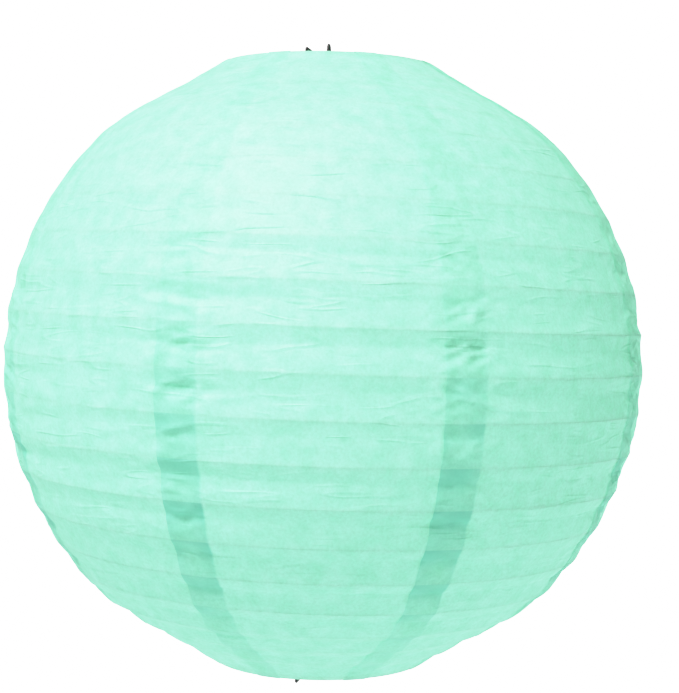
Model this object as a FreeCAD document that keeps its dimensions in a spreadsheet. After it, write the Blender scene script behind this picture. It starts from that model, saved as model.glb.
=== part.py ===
"""Accordion paper lantern: a round paper shade on a spiral wire coil, held open by a wire expander.

The shade is eight paper gores glued over one spiral of thin wire, which runs from a top ring down to
a bottom ring.  Inside stands the expander, one springy wire: a hanger with the hanging loop and two
ears that hold the top ring, and two legs with feet that hold the bottom ring down.

Millimetres.  +Z is up.  The origin is the hanging point: on the shade's axis, on the underside of
the top of the hanging loop.  The expander lies in the YZ plane.  Azimuths run anticlockwise from +X,
seen from above.
"""

import FreeCAD, Part
import math
import os

import Sketcher
from FreeCAD import Placement, Rotation, Vector

DIMENSIONS = {
    # shade
    "shade_radius": 152.5,       # axis to the outside of the paper, half way up
    "half_height": 142.1,        # shade's centre to the centreline of either ring
    "paper_thickness": 0.3,      # paper with its glue and the creases it holds
    "gore_count": 8,
    "lap_angle": 7.0,            # how far a gore laps over its neighbour
    "joggle_angle": 1.0,         # the step where the lap lifts off the gore
    "lap_gap": 0.05,             # glue line in a seam
    "seam_azimuth": -98.1,       # where the first gore starts
    # rings and coil
    "ring_radius": 51.0,         # centreline of the top and bottom rings
    "ring_wire": 1.4,
    "coil_wire": 0.8,
    "coil_turns": 20,
    "coil_azimuth": -35.0,       # where the coil leaves the top ring
    "coil_glue": 0.1,            # between the coil and the paper
    "coil_lead": 1.4,            # from a ring to the coil's end, along the paper
    # crimp sleeves that close the rings
    "sleeve_wall": 0.3,
    "sleeve_clearance": 0.05,
    "sleeve_angle": 8.0,
    "sleeve_azimuth": 172.0,
    # expander
    "frame_wire": 1.2,
    "notch_clearance": 0.1,      # between a ring and the notch that holds it
    "crest_height": 2.2,         # ring's centreline to the wire that folds back over a notch
    "crest_bend": 0.7,
    "lip_reach": 1.9,            # from a notch's corner to its inner lip, along the wire
    "leg_inset": 2.4,            # a ring's centreline in to either leg
    "leg_lead": 6.0,             # from a ring's level to where the leg is straight
    "stub_length": 3.0,          # straight wire left on the hanger above the cut
    "cut_gap": 0.1,
    "foot_length": 8.0,
    "loop_height": 9.2,          # arms to the top of the hanging loop, centreline to centreline
    "loop_bend": 2.0,
    "loop_lean": 20.0,           # lean of the loop's sides from upright
}

# Expressions that several pieces share.
CENTRE = "(-(dims.half_height + dims.crest_height + dims.loop_height - dims.frame_wire / 2))"
SLEEVE_OUTER = "(dims.ring_wire / 2 + dims.sleeve_clearance + dims.sleeve_wall)"
RING_EQUATOR = f"(dims.shade_radius - dims.paper_thickness - dims.lap_gap - {SLEEVE_OUTER})"
ARC_OFFSET = (
    f"((dims.ring_radius ^ 2 + dims.half_height ^ 2 - {RING_EQUATOR} ^ 2)"
    f" / (2 * (dims.ring_radius - {RING_EQUATOR})))"
)
PAPER_INNER = f"(dims.shade_radius - {ARC_OFFSET} - dims.paper_thickness)"
PAPER_OUTER = f"(dims.shade_radius - {ARC_OFFSET})"
LAP_INNER = f"({PAPER_OUTER} + dims.lap_gap)"
LAP_OUTER = f"({LAP_INNER} + dims.paper_thickness)"
COIL_ARC = f"({PAPER_INNER} - dims.coil_glue - dims.coil_wire / 2)"
COIL_SPAN = (
    f"(acos((dims.ring_radius - {ARC_OFFSET}) / ({RING_EQUATOR} - {ARC_OFFSET}))"
    f" - dims.coil_lead / {COIL_ARC} * 180 deg / pi)"
)


def make_sheet(doc):
    """The driving dimensions, one aliased cell each."""
    sheet = doc.addObject("Spreadsheet::Sheet", "dims")
    for row, (name, value) in enumerate(DIMENSIONS.items(), start=1):
        sheet.set(f"A{row}", name)
        sheet.set(f"B{row}", str(value))
        sheet.setAlias(f"B{row}", name)
    doc.recompute()
    return sheet


def make_stations(doc, half_turns):
    """Where the coil stands at the end of each half turn: its reach from the axis and its level."""
    sheet = doc.addObject("Spreadsheet::Sheet", "stations")
    sheet.set("A1", f"={COIL_SPAN}")
    sheet.setAlias("A1", "span")
    for k in range(half_turns + 1):
        angle = f"span * (1 - 2 * {k} / {half_turns})"
        row = k + 2
        sheet.set(f"B{row}", f"={ARC_OFFSET} + {COIL_ARC} * cos({angle})")
        sheet.setAlias(f"B{row}", f"reach_{k:02d}")
        sheet.set(f"C{row}", f"={CENTRE} + {COIL_ARC} * sin({angle})")
        sheet.setAlias(f"C{row}", f"level_{k:02d}")
    doc.recompute()
    return sheet


def origin_plane(body, role):
    """One of the body's own origin planes."""
    return next(f for f in body.Origin.OriginFeatures if f.Role == role)


def add_named(sketch, item, label, expression):
    """A constraint with a name, driven by an expression."""
    index = sketch.addConstraint(item)
    sketch.renameConstraint(index, label)
    sketch.setExpression(f"Constraints.{label}", expression)


def sector_sketch(body, name, inner, outer):
    """A thin meridian strip between two concentric arcs, cut off above the rings' centreline."""
    sketch = body.newObject("Sketcher::SketchObject", name)
    sketch.AttachmentSupport = [(origin_plane(body, "XZ_Plane"), "")]
    sketch.MapMode = "FlatFace"
    middle = Vector(0, -150, 0)
    span = math.radians(70)
    inner_arc = Part.ArcOfCircle(Part.Circle(middle, Vector(0, 0, 1), 150.0), -span, span)
    outer_arc = Part.ArcOfCircle(Part.Circle(middle, Vector(0, 0, 1), 151.0), -span, span)
    sketch.addGeometry(inner_arc)
    sketch.addGeometry(outer_arc)
    sketch.addGeometry(Part.LineSegment(inner_arc.StartPoint, outer_arc.StartPoint))
    sketch.addGeometry(Part.LineSegment(inner_arc.EndPoint, outer_arc.EndPoint))
    constraint = Sketcher.Constraint
    sketch.addConstraint(
        [
            constraint("Coincident", 0, 3, 1, 3),
            constraint("Coincident", 2, 1, 0, 1),
            constraint("Coincident", 2, 2, 1, 1),
            constraint("Coincident", 3, 1, 0, 2),
            constraint("Coincident", 3, 2, 1, 2),
            constraint("Vertical", 2),
            constraint("Vertical", 3),
        ]
    )
    add_named(sketch, constraint("DistanceX", -1, 1, 0, 3, 0.5), "centre_u", ARC_OFFSET)
    add_named(sketch, constraint("DistanceY", -1, 1, 0, 3, -150.0), "centre_z", CENTRE)
    add_named(sketch, constraint("Radius", 0, 150.0), "inner_radius", inner)
    add_named(sketch, constraint("Radius", 1, 151.0), "outer_radius", outer)
    add_named(sketch, constraint("DistanceX", -1, 1, 0, 1, 51.0), "lower_rim", "dims.ring_radius")
    add_named(sketch, constraint("DistanceX", -1, 1, 0, 2, 51.0), "upper_rim", "dims.ring_radius")
    return sketch


def revolve(body, sketch, name, angle, backwards=False):
    """Turns a meridian sketch about the shade's axis."""
    feature = body.newObject("PartDesign::Revolution", name)
    feature.Profile = sketch
    feature.ReferenceAxis = (sketch, ["V_Axis"])
    feature.Reversed = backwards
    feature.setExpression("Angle", angle)
    return feature


def make_gore(doc, number):
    """One long paper panel, with the lap along its leading edge stepped out over its neighbour."""
    label = f"paper_gore_{number}"
    body = doc.addObject("PartDesign::Body", label)
    body.Label = label
    revolve(body, sector_sketch(body, f"panel_sketch_{number}", PAPER_INNER, PAPER_OUTER),
            f"panel_{number}", "360 / dims.gore_count")
    revolve(body, sector_sketch(body, f"joggle_sketch_{number}", PAPER_INNER, LAP_OUTER),
            f"joggle_{number}", "dims.joggle_angle")
    revolve(body, sector_sketch(body, f"lap_sketch_{number}", LAP_INNER, LAP_OUTER),
            f"lap_{number}", "dims.lap_angle", backwards=True)
    turn = f"dims.seam_azimuth + {number - 1} * 360 / dims.gore_count"
    body.setExpression("Placement", f"placement(vector(0; 0; 0); rotation({turn}; 0; 0))")
    return body


def make_ring(doc, label, side):
    """A wire hoop in the rim of one of the shade's openings."""
    ring = doc.addObject("Part::Torus", label)
    ring.Label = label
    ring.setExpression("Radius1", "dims.ring_radius")
    ring.setExpression("Radius2", "dims.ring_wire / 2")
    ring.setExpression("Placement.Base.z", f"{CENTRE} {side} dims.half_height")
    return ring


def make_sleeve(doc, label, side):
    """The crimp sleeve that closes a hoop."""
    body = doc.addObject("PartDesign::Body", label)
    body.Label = label
    sketch = body.newObject("Sketcher::SketchObject", label + "_sketch")
    sketch.AttachmentSupport = [(origin_plane(body, "XZ_Plane"), "")]
    sketch.MapMode = "FlatFace"
    sketch.addGeometry(Part.Circle(Vector(51, 0, 0), Vector(0, 0, 1), 0.75))
    sketch.addGeometry(Part.Circle(Vector(51, 0, 0), Vector(0, 0, 1), 1.05))
    constraint = Sketcher.Constraint
    sketch.addConstraint(constraint("Coincident", 0, 3, 1, 3))
    sketch.addConstraint(constraint("PointOnObject", 0, 3, -1))
    bore = "dims.ring_wire / 2 + dims.sleeve_clearance"
    add_named(sketch, constraint("DistanceX", -1, 1, 0, 3, 51.0), "offset", "dims.ring_radius")
    add_named(sketch, constraint("Radius", 0, 0.75), "bore", bore)
    add_named(sketch, constraint("Radius", 1, 1.05), "outside", SLEEVE_OUTER)
    revolve(body, sketch, label + "_tube", "dims.sleeve_angle")
    level = f"{CENTRE} {side} dims.half_height"
    body.setExpression(
        "Placement", f"placement(vector(0; 0; {level}); rotation(dims.sleeve_azimuth; 0; 0))"
    )
    return body


def make_half_turn(doc, k):
    """Half a turn of the coil: a half ring in a tilted plane, tangent to the halves it meets."""
    half = doc.addObject("Part::Torus", f"coil_half_{k:02d}")
    reach_a, reach_b = f"stations.reach_{k:02d}", f"stations.reach_{k + 1:02d}"
    level_a, level_b = f"stations.level_{k:02d}", f"stations.level_{k + 1:02d}"
    across = f"({reach_a} + {reach_b}) / 2"
    drop = f"({level_a} - {level_b}) / 2"
    yaw = f"(dims.coil_azimuth + {180 * (k % 2)})"
    out = f"({reach_a} - {reach_b}) / 2"
    half.setExpression("Radius1", f"sqrt(({across}) ^ 2 + ({drop}) ^ 2) * 1 mm")
    half.setExpression("Radius2", "dims.coil_wire / 2")
    half.Angle3 = 180
    half.setExpression(
        "Placement",
        f"placement(vector({out} * cos({yaw} * 1 deg); {out} * sin({yaw} * 1 deg);"
        f" ({level_a} + {level_b}) / 2); rotation({yaw}; -atan(({drop}) / ({across})); 0))",
    )
    return half


def make_turn(doc, number):
    """One full turn of the coil."""
    label = f"coil_turn_{number:02d}"
    turn = doc.addObject("Part::MultiFuse", label)
    turn.Label = label
    turn.Shapes = [make_half_turn(doc, 2 * number - 2), make_half_turn(doc, 2 * number - 1)]
    return turn


def rounded_path(corners):
    """A wire in the YZ plane through the corners (y, z, bend radius), each bend an arc."""
    edges = []
    here = Vector(0, corners[0][0], corners[0][1])
    for before, corner, after in zip(corners, corners[1:], corners[2:]):
        point = Vector(0, corner[0], corner[1])
        back = (Vector(0, before[0], before[1]) - point).normalize()
        ahead = (Vector(0, after[0], after[1]) - point).normalize()
        half_angle = back.getAngle(ahead) / 2
        tangent = corner[2] / math.tan(half_angle)
        bisector = (back + ahead).normalize()
        middle = point + bisector * (corner[2] / math.sin(half_angle) - corner[2])
        start = point + back * tangent
        end = point + ahead * tangent
        if (start - here).Length > 1e-6:
            edges.append(Part.makeLine(here, start))
        edges.append(Part.Arc(start, middle, end).toShape())
        here = end
    last = Vector(0, corners[-1][0], corners[-1][1])
    edges.append(Part.makeLine(here, last))
    return Part.Wire(edges)


def bend_wire(doc, label, corners):
    """A piece of the expander: its round wire swept along a bent path."""
    path = doc.addObject("Part::Feature", label + "_path")
    path.Shape = rounded_path(corners)
    section = doc.addObject("Part::Circle", label + "_section")
    section.setExpression("Radius", "dims.frame_wire / 2")
    start = path.Shape.Edges[0]
    heading = start.tangentAt(start.FirstParameter)
    section.Placement = Placement(
        start.valueAt(start.FirstParameter), Rotation(Vector(0, 0, 1), heading)
    )
    sweep = doc.addObject("Part::Sweep", label)
    sweep.Label = label
    sweep.Sections = [section]
    sweep.Spine = (path, [])
    sweep.Solid = True
    return sweep


def notch_corners(size, level, up):
    """The notch that holds a ring, from the fold over it to the straight leg, as (reach, z, bend).

    The wire folds back over the ring, passes round the ring's inside and swells to an inner lip.
    up is 1 at the top ring and -1 at the bottom one.
    """
    grip = (size.ring_wire + size.frame_wire) / 2 + size.notch_clearance
    slope = math.radians(60)
    corner = size.ring_radius - grip / math.sin(slope)
    return [
        (corner + size.crest_height / math.tan(slope), level + up * size.crest_height,
         size.crest_bend),
        (corner, level, grip),
        (corner + size.lip_reach * math.cos(slope), level - up * size.lip_reach * math.sin(slope),
         size.frame_wire),
        (size.leg_reach, level - up * size.leg_lead, 2 * size.frame_wire),
    ]


class Sizes:
    """The sheet's values, and the levels that follow from them, for the expander's bends."""

    def __init__(self, sheet):
        for name in DIMENSIONS:
            setattr(self, name, float(sheet.get(name)))
        rise = self.half_height + self.crest_height + self.loop_height
        self.centre_z = -(rise - self.frame_wire / 2)
        self.top_z = self.centre_z + self.half_height
        self.bottom_z = self.centre_z - self.half_height
        self.cut_z = self.top_z - self.leg_lead - self.stub_length
        self.leg_reach = self.ring_radius - self.leg_inset


def make_hanger(doc, size):
    """The middle of the expander: hanging loop, two arms and the two ears that hold the top ring."""
    arm_z = size.top_z + size.crest_height
    lean = math.radians(size.loop_lean)
    apex_z = size.frame_wire / 2 + size.loop_bend * (1 / math.sin(lean) - 1)
    right = [
        ((apex_z - arm_z) * math.tan(lean), arm_z, size.loop_bend),
        *notch_corners(size, size.top_z, 1),
        (size.leg_reach, size.cut_z, 0),
    ]
    left = [(-reach, z, bend) for reach, z, bend in reversed(right)]
    return bend_wire(doc, "expander_hanger", left + [(0, apex_z, size.loop_bend)] + right)


def make_leg(doc, size, label, side):
    """One leg of the expander, from the cut under its ear down to its foot."""
    foot = notch_corners(size, size.bottom_z, -1)
    crest_reach, crest_z, crest_bend = foot[0]
    path = [
        (size.leg_reach, size.cut_z - size.cut_gap, 0),
        *reversed(foot),
        (crest_reach - size.foot_length, crest_z, 0),
    ]
    return bend_wire(doc, label, [(side * reach, z, bend) for reach, z, bend in path])


def main():
    doc = FreeCAD.newDocument("paper_lantern")
    sheet = make_sheet(doc)
    size = Sizes(sheet)
    turns = int(size.coil_turns)
    make_stations(doc, 2 * turns)

    pieces = [make_hanger(doc, size)]
    pieces.append(make_leg(doc, size, "expander_leg_front", -1))
    pieces.append(make_leg(doc, size, "expander_leg_back", 1))
    for end, side in (("top", "+"), ("bottom", "-")):
        pieces.append(make_ring(doc, f"{end}_ring", side))
        pieces.append(make_sleeve(doc, f"{end}_ring_sleeve", side))
    pieces += [make_turn(doc, number) for number in range(1, turns + 1)]
    pieces += [make_gore(doc, number) for number in range(1, int(size.gore_count) + 1)]
    doc.recompute()

    for item in doc.Objects:
        if {"Invalid", "Error"} & set(item.State):
            raise ValueError(f"{item.Name}: {item.State}")
    os.makedirs("parts", exist_ok=True)
    for piece in pieces:
        shape = piece.Shape
        if shape.isNull() or not shape.isValid() or shape.Volume <= 0:
            raise ValueError(f"{piece.Label} has no good solid")
        shape.exportStep(f"parts/{piece.Label}.step")


main()
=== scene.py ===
import math

import bmesh
import bpy
import numpy as np
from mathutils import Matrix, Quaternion, Vector


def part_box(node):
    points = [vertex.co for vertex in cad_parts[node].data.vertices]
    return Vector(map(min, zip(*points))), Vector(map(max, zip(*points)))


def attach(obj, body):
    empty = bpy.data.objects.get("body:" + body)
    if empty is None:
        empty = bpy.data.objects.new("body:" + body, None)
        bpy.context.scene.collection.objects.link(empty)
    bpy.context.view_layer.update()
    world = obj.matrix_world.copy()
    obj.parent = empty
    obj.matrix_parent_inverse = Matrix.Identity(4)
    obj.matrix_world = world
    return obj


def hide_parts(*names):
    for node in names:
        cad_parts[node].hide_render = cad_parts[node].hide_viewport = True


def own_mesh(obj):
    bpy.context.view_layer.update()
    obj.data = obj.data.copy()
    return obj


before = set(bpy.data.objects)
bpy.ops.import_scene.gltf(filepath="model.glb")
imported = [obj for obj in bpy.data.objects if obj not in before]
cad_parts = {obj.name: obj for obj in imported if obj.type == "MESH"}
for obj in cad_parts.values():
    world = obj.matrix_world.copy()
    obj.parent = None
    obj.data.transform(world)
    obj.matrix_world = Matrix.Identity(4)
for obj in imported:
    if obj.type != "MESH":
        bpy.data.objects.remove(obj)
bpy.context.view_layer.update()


# The studio.  A round paper lantern hangs in front of plain white paper, lit by a broad soft key
# from the upper left and by even light from all round, and is seen from a little above its middle.
MM = 0.001                       # sizes are in millimetres, and Blender's own in metres

top_low, top_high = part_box("top_ring")
bottom_low, bottom_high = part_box("bottom_ring")
RING_WIRE = (top_high.z - top_low.z) / MM
TOP = (top_low.z + top_high.z) / 2 / MM
BOTTOM = (bottom_low.z + bottom_high.z) / 2 / MM
RING_REACH = top_high.x / MM - RING_WIRE / 2
MIDDLE = (TOP + BOTTOM) / 2

camera_distance = 760
camera_azimuth = math.radians(11.6)
camera_rise = 34
camera_roll = math.radians(1.0)
aside, above = 7.6, 8.0          # the camera points this far right of and over the shade's middle

centre = Vector((0, 0, MIDDLE)) * MM
offset = Vector((math.sin(camera_azimuth), -math.cos(camera_azimuth), 0)) * camera_distance
offset.z = camera_rise
right = Vector((math.cos(camera_azimuth), math.sin(camera_azimuth), 0))
target = centre + right * aside * MM + Vector((0, 0, above * MM))
camera = bpy.data.objects.new("camera", bpy.data.cameras.new("camera"))
bpy.context.collection.objects.link(camera)
camera.location = centre + offset * MM
camera.data.sensor_width = 36
camera.data.lens = 81.3
camera.rotation_mode = "QUATERNION"
camera.rotation_quaternion = (target - camera.location).to_track_quat("-Z", "Y") @ Quaternion(
    (0, 0, 1), camera_roll
)
bpy.context.scene.camera = camera
view = bpy.context.scene.view_settings
view.view_transform = "Standard"
# The brightest paper comes out pale rather than burnt: a straight line with a soft shoulder.
view.use_curve_mapping = True
shoulder = view.curve_mapping
shoulder.white_level = (2, 2, 2)
for bright, shown in ((0.25, 0.5), (0.35, 0.68), (0.5, 0.86), (0.7, 0.95)):
    shoulder.curves[3].points.new(bright, shown)
shoulder.update()


def linear(colour):
    """An sRGB hex colour as linear RGBA."""
    channels = [int(colour[i:i + 2], 16) / 255 for i in (1, 3, 5)]
    return [c / 12.92 if c <= 0.04045 else ((c + 0.055) / 1.055) ** 2.4 for c in channels] + [1]


def add(tree, kind, inputs=(), **settings):
    """Adds a node, with its settings and with its inputs set or linked."""
    node = tree.nodes.new(kind)
    for name, value in settings.items():
        setattr(node, name, value)
    for name, value in dict(inputs).items():
        if isinstance(value, bpy.types.NodeSocket):
            tree.links.new(value, node.inputs[name])
        else:
            node.inputs[name].default_value = value
    return node


def new_material(name):
    """An empty node material, and its output node."""
    material = bpy.data.materials.new(name)
    material.use_nodes = True
    material.node_tree.nodes.clear()
    return material, add(material.node_tree, "ShaderNodeOutputMaterial")


def new_piece(name, points, faces, material):
    """A smooth mesh piece of the lantern from points in millimetres."""
    mesh = bpy.data.meshes.new(name)
    mesh.from_pydata([tuple(p) for p in np.asarray(points) * MM], [], faces)
    mesh.validate()
    mesh.polygons.foreach_set("use_smooth", [True] * len(mesh.polygons))
    mesh.materials.append(material)
    piece = bpy.data.objects.new(name, mesh)
    bpy.context.collection.objects.link(piece)
    return piece


world = bpy.data.worlds.new("even light")
world.use_nodes = True
bpy.context.scene.world = world
world.node_tree.nodes.clear()
rays = add(world.node_tree, "ShaderNodeLightPath")
fill = add(world.node_tree, "ShaderNodeBackground", {"Color": (1, 1, 1, 1), "Strength": 0.47})
seen = add(world.node_tree, "ShaderNodeBackground", {"Color": (1, 1, 1, 1), "Strength": 2.0})
both = add(world.node_tree, "ShaderNodeMixShader",
           {0: rays.outputs["Is Camera Ray"], 1: fill.outputs[0], 2: seen.outputs[0]})
add(world.node_tree, "ShaderNodeOutputWorld", {"Surface": both.outputs[0]})

key = bpy.data.objects.new("key light", bpy.data.lights.new("key light", "SUN"))
bpy.context.collection.objects.link(key)
key.data.color = (1, 0.98, 0.91)
key.data.energy = 5.0
key.data.angle = math.radians(16)
key.rotation_mode = "QUATERNION"
key_from = Vector((-0.22, -0.5, 0.84))
key.rotation_quaternion = key_from.to_track_quat("Z", "Y")

FLOOR_DROP = 1300
FLOOR_REACH = 30000
backdrop, backdrop_output = new_material("white studio paper")
studio_white = add(backdrop.node_tree, "ShaderNodeBsdfDiffuse", {"Color": linear("#dfe9eb")})
overexposed = add(backdrop.node_tree, "ShaderNodeEmission", {"Strength": 2.0})
sight = add(backdrop.node_tree, "ShaderNodeLightPath")
white = add(backdrop.node_tree, "ShaderNodeMixShader",
            {0: sight.outputs["Is Camera Ray"], 1: studio_white.outputs[0],
             2: overexposed.outputs[0]})
backdrop.node_tree.links.new(white.outputs[0], backdrop_output.inputs["Surface"])
angles = np.radians(np.arange(0, 360, 5))
floor_edge = np.stack([np.cos(angles) * FLOOR_REACH, np.sin(angles) * FLOOR_REACH,
                       np.full(len(angles), MIDDLE - FLOOR_DROP)], axis=1)
new_piece("studio_floor", floor_edge, [tuple(range(len(angles)))], backdrop)


# The shade.  Eight long tapering gores of thin mint tissue paper are glued over a spiral of wire,
# each lapping over the last.  The paper is tight along every rib and hollow between, still creased
# along the middle of each band where it folds when it is flat, and crumpled beside its seams.
GORES = 8
TURNS = 20
COIL_START = -35.0               # azimuth where the coil leaves the top ring
COIL_LEAD = 1.4                  # from a ring to the coil's end, along the paper
FIRST_SEAM = -98.1
PAPER_REST = 0.06                # half the paper's thickness and its glue, over a wire
LAP_RIM, LAP_MIDDLE = 11.0, 17.7  # a lap's width at a rim and at the shade's middle
LAP_LIFT = 0.22                  # how far a lap stands over the gore below it
LAP_STEP = 1.6                   # the paper steps down off a lap over this width
LAP_EDGE = 0.8                   # the second layer's colour and painted shade end over this width
SHOULDER_ANGLE = math.radians(44)  # beyond this the expander draws the paper straight to a ring,
SHOULDER_FLAT = 3.2                # so far inside the ball's round
SHOULDER_LEAN = 1.4                # over 1, the deepest place is nearer the ring
COLUMN_STEP = 0.5                # degrees
BAND_ROWS = (0, 0.02, *np.arange(0.05, 0.96, 0.045), 0.98)  # as shares of a band's height

PAPER_HALF = 0.15                # half the thickness that the paper has in the frame
SHADE_REACH = max(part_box(f"paper_gore_{g}")[1].x for g in range(1, GORES + 1)) / MM
SHADE_REACH -= PAPER_HALF
stand_off = RING_WIRE / 2 + PAPER_REST
GORE_END, HEM_START = 0.7, 1.2    # along the paper from a ring: where a gore stops and its hem starts
HEM_TUCK = 0.04                  # a hem lies this far under its gore
HEM_TURN = math.radians(265)     # how far round a ring's wire a hem goes, from straight out
HEM_STEPS = 8
HEM_GLUED = (1.5, 3.0, 4.5)      # rows of the part that is glued inside the shade
half_height = (TOP - BOTTOM) / 2
ring_equator = SHADE_REACH - stand_off
ARC_OFFSET = (RING_REACH**2 + half_height**2 - ring_equator**2) / (2 * (RING_REACH - ring_equator))
ARC = SHADE_REACH - ARC_OFFSET
HEM_INNER = ARC - 2 * stand_off + 0.25  # the radius of that part, just inside the coil
RING_ANGLE = math.acos((RING_REACH - ARC_OFFSET) / (ARC - stand_off))
SPAN = RING_ANGLE - COIL_LEAD / ARC
PITCH = 2 * SPAN * ARC / TURNS
RIM_TURN = (RING_ANGLE / SPAN - 1) * TURNS / 2


def cloud(points, size, seed):
    """Smooth random values from 0 to 1 that change over the given sizes, in millimetres."""
    at = points / np.asarray(size, float) + seed * 17.31
    cell = np.floor(at).astype(np.int64)
    part = at - cell
    part = part * part * (3 - 2 * part)
    total = np.zeros(points.shape[:-1])
    for corner in np.ndindex(2, 2, 2):
        # Large primes stir a corner's whole numbers and the seed into one random number.
        step = cell + np.array(corner)
        stirred = (step[..., 0] * 73856093 ^ step[..., 1] * 19349663 ^ step[..., 2] * 83492791)
        stirred = (stirred + seed * 7919) * 2654435761 % 4294967296
        stirred = (stirred ^ (stirred >> 15)) * 2246822519 % 4294967296
        value = (stirred ^ (stirred >> 13)) % 65536 / 65535
        weight = np.prod(np.where(np.array(corner) == 1, part, 1 - part), axis=-1)
        total += value * weight
    return total


def ridges(points, size, seed, sharpness):
    """Thin random ridges, 1 along their crests."""
    return (1 - np.abs(2 * cloud(points, size, seed) - 1)) ** sharpness


def fade(value, middle, width):
    """Falls softly from 1 to 0 as the value passes a middle, over a few widths."""
    return 1 / (1 + np.exp((value - middle) / width))


def on_shade(azimuth, turn, lift):
    """Points on the shade by azimuth in degrees, turns down the coil and lift off the profile."""
    angle = SPAN * (1 - 2 * turn / TURNS)
    past = np.clip((np.abs(angle) - SHOULDER_ANGLE) / (RING_ANGLE - SHOULDER_ANGLE), 0, 1)
    radius = ARC + lift - SHOULDER_FLAT * np.sin(math.pi * past**SHOULDER_LEAN)
    reach = ARC_OFFSET + radius * np.cos(angle)
    around = np.radians(azimuth)
    return np.stack([reach * np.cos(around), reach * np.sin(around),
                     MIDDLE + radius * np.sin(angle)], axis=-1)


def seam_distance(azimuth, reach):
    """Distance in millimetres from the middle of the nearest lap."""
    gore = 360 / GORES
    lap_middle = FIRST_SEAM - math.degrees(LAP_MIDDLE / 2 / SHADE_REACH)
    away = (azimuth - lap_middle + gore / 2) % gore - gore / 2
    return np.abs(np.radians(away)) * reach


SEAM_REACH = 22                  # how far from a lap's middle the paste has drawn the paper up
SMOOTH_RIM = 2                   # by a ring the paper is tight for this far,
RIM_FADE = 6                     # and the hollows grow over this much more
TIGHT_TOP = 0.22                 # the upper shade is tight, and has this share of the hollows,
TIGHT_FROM, TIGHT_OVER = 58, 14  # from this height above the middle up, softly over this much
# Crumples lean off the ribs by a slope that swings in waves round the shade.  Each family has its
# slope, its waves, the sizes of its facets round and up the shade, its depth and its seed.
SEAM_CRUMPLES = ((0.5, 5, (12, 12, 6), 2.1, 11), (0.45, 3, (10, 10, 5), 1.9, 13))
LONG_CRUMPLES = ((0.16, 4, (46, 46, 8), 1.5, 17), (0.12, 7, (38, 38, 7), 1.3, 19))


def leaning(place, azimuth, slope, waves, seed):
    """The places moved up and down so that a pattern on them leans off the ribs."""
    reach = np.hypot(place[..., 0], place[..., 1])
    rise = slope * reach * np.sin(waves * np.radians(azimuth) + seed) / waves
    return place + np.stack([0 * rise, 0 * rise, rise], axis=-1)


def paper_relief(azimuth, turn):
    """How far the paper stands off the smooth profile: hollow bands, fold lines and crumples."""
    place = on_shade(azimuth, turn, 0)
    down = turn - (azimuth - COIL_START) / 360
    share = down - np.floor(down)
    rounded = 4 * share * (1 - share)
    to_rim = np.minimum(turn + RIM_TURN, TURNS + RIM_TURN - turn) * PITCH
    off_rim = np.clip((to_rim - SMOOTH_RIM) / RIM_FADE, 0, 1)

    height = place[..., 2] - MIDDLE
    seam = seam_distance(azimuth, np.hypot(place[..., 0], place[..., 1]))
    near_seam = np.exp(-((seam / SEAM_REACH) ** 2))
    on_lap = fade(seam, LAP_MIDDLE / 2, 1.2)
    slack = TIGHT_TOP + (1 - TIGHT_TOP) * fade(height, TIGHT_FROM, TIGHT_OVER)
    waist = slack * (0.45 + 0.55 * np.exp(-(((height - 5) / 60) ** 2)))

    # A band is hollow between its ribs: crisp where its old fold still shows, and round elsewhere.
    fold_at = 0.4 + 0.22 * (cloud(place, (60, 60, 30), 5) - 0.5)
    folded = np.minimum(share / fold_at, (1 - share) / (1 - fold_at))
    crisp = np.clip(cloud(place, (48, 48, 12), 7) * 2.2 - 0.45 + 0.9 * near_seam, 0, 1)
    across = (1 - crisp) * rounded + crisp * folded
    depth = 0.45 + 1.35 * cloud(place, (75, 75, 12), 3) + 0.6 * near_seam + 0.3 * on_lap
    relief = -depth * slack * across * off_rim

    # Crumples are flat facets between sharp creases, small beside a seam and long elsewhere.
    hold = rounded * off_rim * waist
    for slope, waves, size, deep, seed in SEAM_CRUMPLES:
        creased = ridges(leaning(place, azimuth, slope, waves, seed), size, seed, 1)
        relief += deep * (creased - 0.5) * hold * near_seam**2
    for slope, waves, size, deep, seed in LONG_CRUMPLES:
        creased = ridges(leaning(place, azimuth, slope, waves, seed), size, seed, 1.3)
        patchy = np.clip(cloud(place, (60, 60, 30), seed + 1) * 2.5 - 0.6, 0, 1)
        relief += deep * (creased - 0.4) * hold * patchy * (0.45 + 0.55 * near_seam)
    return relief


RIM_COSINE = 0.33                # cosine of the shade's angle at a rim


def lap_width(turn):
    """Width of a gore's lap in degrees: broad at the shade's middle and narrower at its rims."""
    angle = SPAN * (1 - 2 * turn / TURNS)
    wide = LAP_RIM + (LAP_MIDDLE - LAP_RIM) * (np.cos(angle) - RIM_COSINE) / (1 - RIM_COSINE)
    return np.degrees(wide / (ARC_OFFSET + ARC * np.cos(angle)))


def hem_rows(azimuth, lift, upward):
    """The gore's hem, which turns in round a ring and is glued inside the shade."""
    around = np.radians(azimuth)
    edge = HEM_START / PITCH - RIM_TURN
    rows = [on_shade(azimuth, edge if upward else TURNS - edge, lift - HEM_TUCK)]
    section = [
        (RING_REACH + (stand_off + lift) * math.cos(a), (stand_off + lift) * math.sin(a))
        for a in np.linspace(RING_ANGLE, HEM_TURN, HEM_STEPS)
    ]
    for length in HEM_GLUED:
        angle = RING_ANGLE - length / ARC
        section.append((ARC_OFFSET + HEM_INNER * math.cos(angle),
                        HEM_INNER * math.sin(angle) - half_height))
    for reach, rise in section:
        level = TOP + rise if upward else BOTTOM - rise
        rows.append(np.stack(np.broadcast_arrays(
            reach * np.cos(around), reach * np.sin(around), level), axis=-1))
    return np.array(rows[::-1] if upward else rows)


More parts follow.
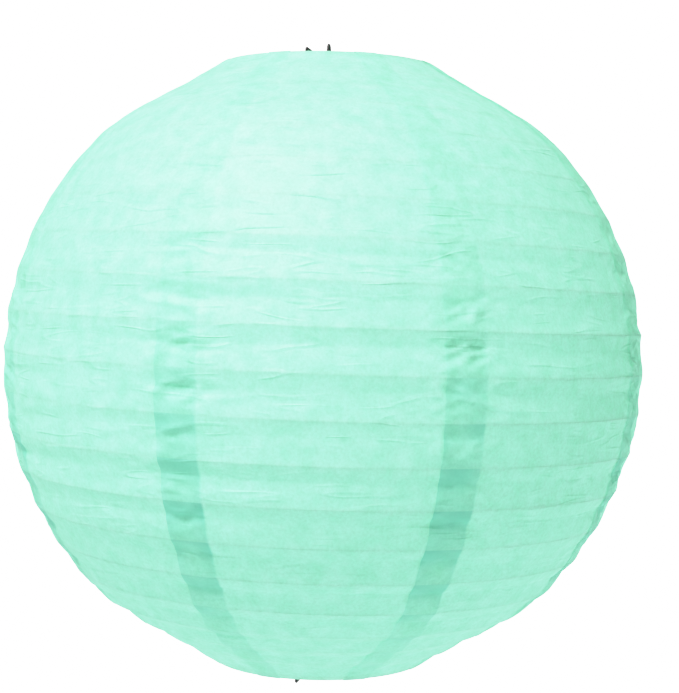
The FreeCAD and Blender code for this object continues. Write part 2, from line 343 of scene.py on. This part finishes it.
def paper_piece(name, grid, lap_and_painted_shade, material):
    """A piece of paper from points, with each point's share of a second layer and painted shade."""
    high, wide = grid.shape[:2]
    faces = [
        (r * wide + c, (r + 1) * wide + c, (r + 1) * wide + c + 1, r * wide + c + 1)
        for r in range(high - 1) for c in range(wide - 1)
    ]
    piece = new_piece(name, grid.reshape(-1, 3), faces, material)
    lap_and_shade_share = piece.data.attributes.new("lap_and_painted_shade", "FLOAT", "POINT")
    lap_and_shade_share.data.foreach_set("value", lap_and_painted_shade.reshape(-1))
    # Columns past a narrow stretch of the lap, and rows past the rims, fall together.
    clean = bmesh.new()
    clean.from_mesh(piece.data)
    bmesh.ops.remove_doubles(clean, verts=clean.verts, dist=0.01 * MM)
    clean.to_mesh(piece.data)
    clean.free()
    return piece


def make_gore(number, material):
    """One gore, with rows that follow the spiral of the ribs, and its two hems."""
    gore = 360 / GORES
    start = FIRST_SEAM + (number - 1) * gore
    widest = math.ceil(lap_width(0) / COLUMN_STEP)
    columns = np.arange(-widest, round(gore / COLUMN_STEP) + 1) * COLUMN_STEP
    first_turn = ((start - COIL_START) / 360) % 1
    down = (np.arange(-2, TURNS + 1)[:, None] + np.array(BAND_ROWS)).reshape(-1, 1) + first_turn
    azimuth = np.maximum(columns, -lap_width(np.clip(down, -RIM_TURN, TURNS + RIM_TURN)))
    end_turn = RIM_TURN - GORE_END / PITCH
    turn = np.clip(down + azimuth / 360, -end_turn, TURNS + end_turn)
    inside = np.flatnonzero(np.ptp(turn, axis=1) > 0)
    rows = slice(inside[0] - 1, inside[-1] + 2)
    azimuth, turn = start + azimuth[rows], turn[rows]

    smooth = on_shade(azimuth, turn, 0)
    beyond = np.radians(azimuth - start) * np.hypot(smooth[..., 0], smooth[..., 1])
    lift = LAP_LIFT * np.clip(1 - beyond / LAP_STEP, 0, 1)
    points = on_shade(azimuth, turn, paper_relief(azimuth, turn) + lift)
    # Painted shade: laps are darker from the middle down to near the bottom, lit from inside.
    height = smooth[..., 2] - MIDDLE
    lap_shade_by_height = 0.12 + 0.88 * fade(height, -8, 15)
    lap_shade_by_height *= 1 - 0.65 * fade(height, -104, 9)
    share = (turn - (azimuth - COIL_START) / 360) % 1
    # More painted shade just under each rib; the paste itself lies in patches.
    shade_under_rib = 0.55 + 0.45 * fade(share, 0.45, 0.06)
    paste_and_rib_shade = (0.4 + 0.6 * cloud(points, (9, 9, 9), 29)) * shade_under_rib
    lap_and_painted_shade = np.clip(1 - beyond / LAP_EDGE, 0, 1) * lap_shade_by_height * paste_and_rib_shade

    made = [paper_piece(f"shade_gore_{number}", points, lap_and_painted_shade, material)]
    for end, row in (("top", 0), ("bottom", -1)):
        hem = hem_rows(azimuth[row], LAP_LIFT * (columns < 0), end == "top")
        made.append(paper_piece(f"shade_gore_{number}_{end}_hem", hem,
                                np.tile(lap_and_painted_shade[row], (len(hem), 1)), material))
    return made


paper, paper_output = new_material("mint tissue paper")
tree = paper.node_tree
coordinates = add(tree, "ShaderNodeTexCoord")
millimetres = add(tree, "ShaderNodeVectorMath", {0: coordinates.outputs["Object"], "Scale": 1 / MM},
                  operation="SCALE")
place = millimetres.outputs[0]
# Tissue paper's pulp lies in soft clouds a few millimetres across, with fibres between them.
pulp = add(tree, "ShaderNodeTexNoise", {"Vector": place, "Scale": 1 / 7, "Detail": 3.0,
                                        "Roughness": 0.6})
fibre = add(tree, "ShaderNodeTexNoise", {"Vector": place, "Scale": 1 / 1.3, "Detail": 4.0,
                                         "Roughness": 0.7})
pulp_tone = add(tree, "ShaderNodeMapRange", {"Value": pulp.outputs["Fac"], "From Min": 0.3,
                                             "From Max": 0.7})
tone = add(tree, "ShaderNodeMix", {"Factor": pulp_tone.outputs[0], "A": linear("#a3f0d4"),
                                   "B": linear("#b8fae5")}, data_type="RGBA")
strands = add(tree, "ShaderNodeMapRange", {"Value": fibre.outputs["Fac"], "From Min": 0.35,
                                           "From Max": 0.65, "To Min": 0.91, "To Max": 1.05})
dyed = add(tree, "ShaderNodeVectorMath", {0: tone.outputs["Result"], "Scale": strands.outputs[0]},
           operation="SCALE")
# Laps: two sheets and paste are a bit deeper in colour, and painted shade makes them darker still.
lap = add(tree, "ShaderNodeAttribute", attribute_name="lap_and_painted_shade")
lapped_and_shaded = add(tree, "ShaderNodeMix", {"Factor": lap.outputs["Fac"], "A": dyed.outputs[0],
                                     "B": linear("#74d2c0")}, data_type="RGBA")
# Fine crinkles are a few millimetres apart, and lie mostly along the ribs.
stretched = add(tree, "ShaderNodeMapping", {"Vector": place, "Scale": (1 / 40, 1 / 40, 1 / 6)})
crinkle = add(tree, "ShaderNodeTexNoise", {"Vector": stretched.outputs[0], "Scale": 1.0,
                                           "Detail": 1.0, "Roughness": 0.5, "Distortion": 0.3})
folded = add(tree, "ShaderNodeMath", {0: crinkle.outputs["Fac"], 1: 0.5}, operation="SUBTRACT")
sharp = add(tree, "ShaderNodeMath", {0: folded.outputs[0]}, operation="ABSOLUTE")
crease = add(tree, "ShaderNodeMapRange", {"Value": sharp.outputs[0], "From Min": 0.0,
                                          "From Max": 0.07, "To Min": 1.0, "To Max": 0.0})
# Only stretches of them show: most of the paper between is flat.
stretches = add(tree, "ShaderNodeTexNoise", {"Vector": place, "Scale": 1 / 16, "Detail": 1.0})
shows = add(tree, "ShaderNodeMapRange", {"Value": stretches.outputs["Fac"], "From Min": 0.44,
                                         "From Max": 0.6})
patches = add(tree, "ShaderNodeMath", {0: crease.outputs[0], 1: shows.outputs[0]},
              operation="MULTIPLY")
crinkle_bump = add(tree, "ShaderNodeBump", {"Height": patches.outputs[0], "Strength": 0.8,
                                            "Distance": 0.35 * MM})
grain_bump = add(tree, "ShaderNodeBump", {"Height": fibre.outputs["Fac"], "Strength": 0.6,
                                          "Distance": 0.2 * MM,
                                          "Normal": crinkle_bump.outputs[0]})
face = add(tree, "ShaderNodeBsdfPrincipled", {"Base Color": lapped_and_shaded.outputs["Result"],
                                              "Roughness": 0.6, "Specular IOR Level": 0.9,
                                              "Normal": grain_bump.outputs[0]})
through = add(tree, "ShaderNodeBsdfTranslucent", {"Color": lapped_and_shaded.outputs["Result"]})
sheet_mix = add(tree, "ShaderNodeMixShader", {0: 0.4, 1: face.outputs[0],
                                              2: through.outputs[0]})
tree.links.new(sheet_mix.outputs[0], paper_output.inputs["Surface"])

for number in range(1, GORES + 1):
    gore, top_hem, bottom_hem = make_gore(number, paper)
    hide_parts(f"paper_gore_{number}")
    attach(gore, "hanger_and_top")
    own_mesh(gore)
    for hem, body in ((top_hem, "hanger_and_top"), (bottom_hem, "bottom_end")):
        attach(hem, body)


# The coil.  One long spring wire, bright and thin, spirals down inside the paper from ring to ring
# and is glued to it all the way.
COIL_WIRE = 0.8
STEPS_PER_TURN = 72
SIDES = 8

steel, steel_output = new_material("drawn spring wire")
drawn_place = add(steel.node_tree, "ShaderNodeTexCoord")
drawn_mm = add(steel.node_tree, "ShaderNodeVectorMath",
               {0: drawn_place.outputs["Object"], "Scale": 1 / MM}, operation="SCALE")
# Drawing leaves fine lengthwise lines, left out here, and faint grey bands of lubricant.
bands = add(steel.node_tree, "ShaderNodeTexNoise", {"Vector": drawn_mm.outputs[0],
                                                    "Scale": 1 / 6, "Detail": 3.0})
dulled = add(steel.node_tree, "ShaderNodeMix", {"Factor": bands.outputs["Fac"],
                                                "A": linear("#a9aaa8"), "B": linear("#c9cac7")},
             data_type="RGBA")
dull_roughness = add(steel.node_tree, "ShaderNodeMapRange", {"Value": bands.outputs["Fac"],
                                                             "To Min": 0.28, "To Max": 0.5})
wire_shader = add(steel.node_tree, "ShaderNodeBsdfPrincipled",
                  {"Base Color": dulled.outputs["Result"], "Metallic": 1.0,
                   "Roughness": dull_roughness.outputs[0]})
steel.node_tree.links.new(wire_shader.outputs[0], steel_output.inputs["Surface"])

turns = np.linspace(0, TURNS, TURNS * STEPS_PER_TURN + 1)
spine = on_shade(COIL_START + turns * 360, turns, -(PAPER_REST + COIL_WIRE / 2))
ahead = np.gradient(spine, axis=0)
ahead /= np.linalg.norm(ahead, axis=1, keepdims=True)
outward = spine - np.array([0, 0, MIDDLE])
outward -= ahead * np.sum(outward * ahead, axis=1, keepdims=True)
outward /= np.linalg.norm(outward, axis=1, keepdims=True)
sideways = np.cross(ahead, outward)
tube = []
for side in range(SIDES):
    angle = 2 * math.pi * side / SIDES
    tube.append(spine + COIL_WIRE / 2 * (math.cos(angle) * outward + math.sin(angle) * sideways))
tube = np.stack(tube, axis=1)
coil_faces = [
    (i * SIDES + s, i * SIDES + (s + 1) % SIDES, (i + 1) * SIDES + (s + 1) % SIDES,
     (i + 1) * SIDES + s)
    for i in range(len(spine) - 1) for s in range(SIDES)
]
coil_faces += [tuple(range(SIDES))[::-1], tuple(range((len(spine) - 1) * SIDES, len(spine) * SIDES))]
coil = new_piece("shade_coil", tube.reshape(-1, 3), coil_faces, steel)
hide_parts(*[f"coil_turn_{n:02d}" for n in range(1, TURNS + 1)])
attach(coil, "hanger_and_top")
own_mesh(coil)


# The rings.  A hoop of the same bright wire, but thicker, stiffens each opening, and a crimped
# sleeve of tin plate closes it.
tin, tin_output = new_material("crimped tin plate")
tin_place = add(tin.node_tree, "ShaderNodeTexCoord")
tin_mm = add(tin.node_tree, "ShaderNodeVectorMath",
             {0: tin_place.outputs["Object"], "Scale": 1 / MM}, operation="SCALE")
spangle = add(tin.node_tree, "ShaderNodeTexVoronoi", {"Vector": tin_mm.outputs[0],
                                                      "Scale": 1 / 0.9})
tin_tone = add(tin.node_tree, "ShaderNodeMix", {"Factor": spangle.outputs["Distance"],
                                                "A": linear("#c4c4c0"), "B": linear("#a8a8a4")},
               data_type="RGBA")
dents = add(tin.node_tree, "ShaderNodeBump", {"Height": spangle.outputs["Distance"],
                                              "Strength": 0.5, "Distance": 0.08 * MM})
tin_shader = add(tin.node_tree, "ShaderNodeBsdfPrincipled",
                 {"Base Color": tin_tone.outputs["Result"], "Metallic": 1.0, "Roughness": 0.38,
                  "Normal": dents.outputs[0]})
tin.node_tree.links.new(tin_shader.outputs[0], tin_output.inputs["Surface"])


def dress(node_name, material):
    """Gives a CAD piece its finish."""
    piece = bpy.data.objects[node_name]
    piece.data.materials.clear()
    piece.data.materials.append(material)


for ring in ("top_ring", "bottom_ring"):
    dress(ring, steel)
    dress(f"{ring}_sleeve", tin)


# The expander.  A springy wire, bent cold and dipped in black lacquer, which has rubbed a little
# thin: the hanger with its loop and ears, and two legs with their feet.
lacquer, lacquer_output = new_material("black lacquered wire")
dip_place = add(lacquer.node_tree, "ShaderNodeTexCoord")
dip_mm = add(lacquer.node_tree, "ShaderNodeVectorMath",
             {0: dip_place.outputs["Object"], "Scale": 1 / MM}, operation="SCALE")
rub = add(lacquer.node_tree, "ShaderNodeTexNoise", {"Vector": dip_mm.outputs[0], "Scale": 1 / 2.5,
                                                    "Detail": 4.0, "Roughness": 0.65})
worn = add(lacquer.node_tree, "ShaderNodeMapRange", {"Value": rub.outputs["Fac"],
                                                     "From Min": 0.55, "From Max": 0.75})
black = add(lacquer.node_tree, "ShaderNodeMix", {"Factor": worn.outputs[0],
                                                 "A": linear("#161616"), "B": linear("#3a3936")},
            data_type="RGBA")
gloss = add(lacquer.node_tree, "ShaderNodeMapRange", {"Value": rub.outputs["Fac"],
                                                      "To Min": 0.3, "To Max": 0.55})
runs = add(lacquer.node_tree, "ShaderNodeBump", {"Height": rub.outputs["Fac"], "Strength": 0.3,
                                                 "Distance": 0.05 * MM})
lacquer_shader = add(lacquer.node_tree, "ShaderNodeBsdfPrincipled",
                     {"Base Color": black.outputs["Result"], "Roughness": gloss.outputs[0],
                      "Normal": runs.outputs[0]})
lacquer.node_tree.links.new(lacquer_shader.outputs[0], lacquer_output.inputs["Surface"])

for wire in ("expander_hanger", "expander_leg_front", "expander_leg_back"):
    dress(wire, lacquer)
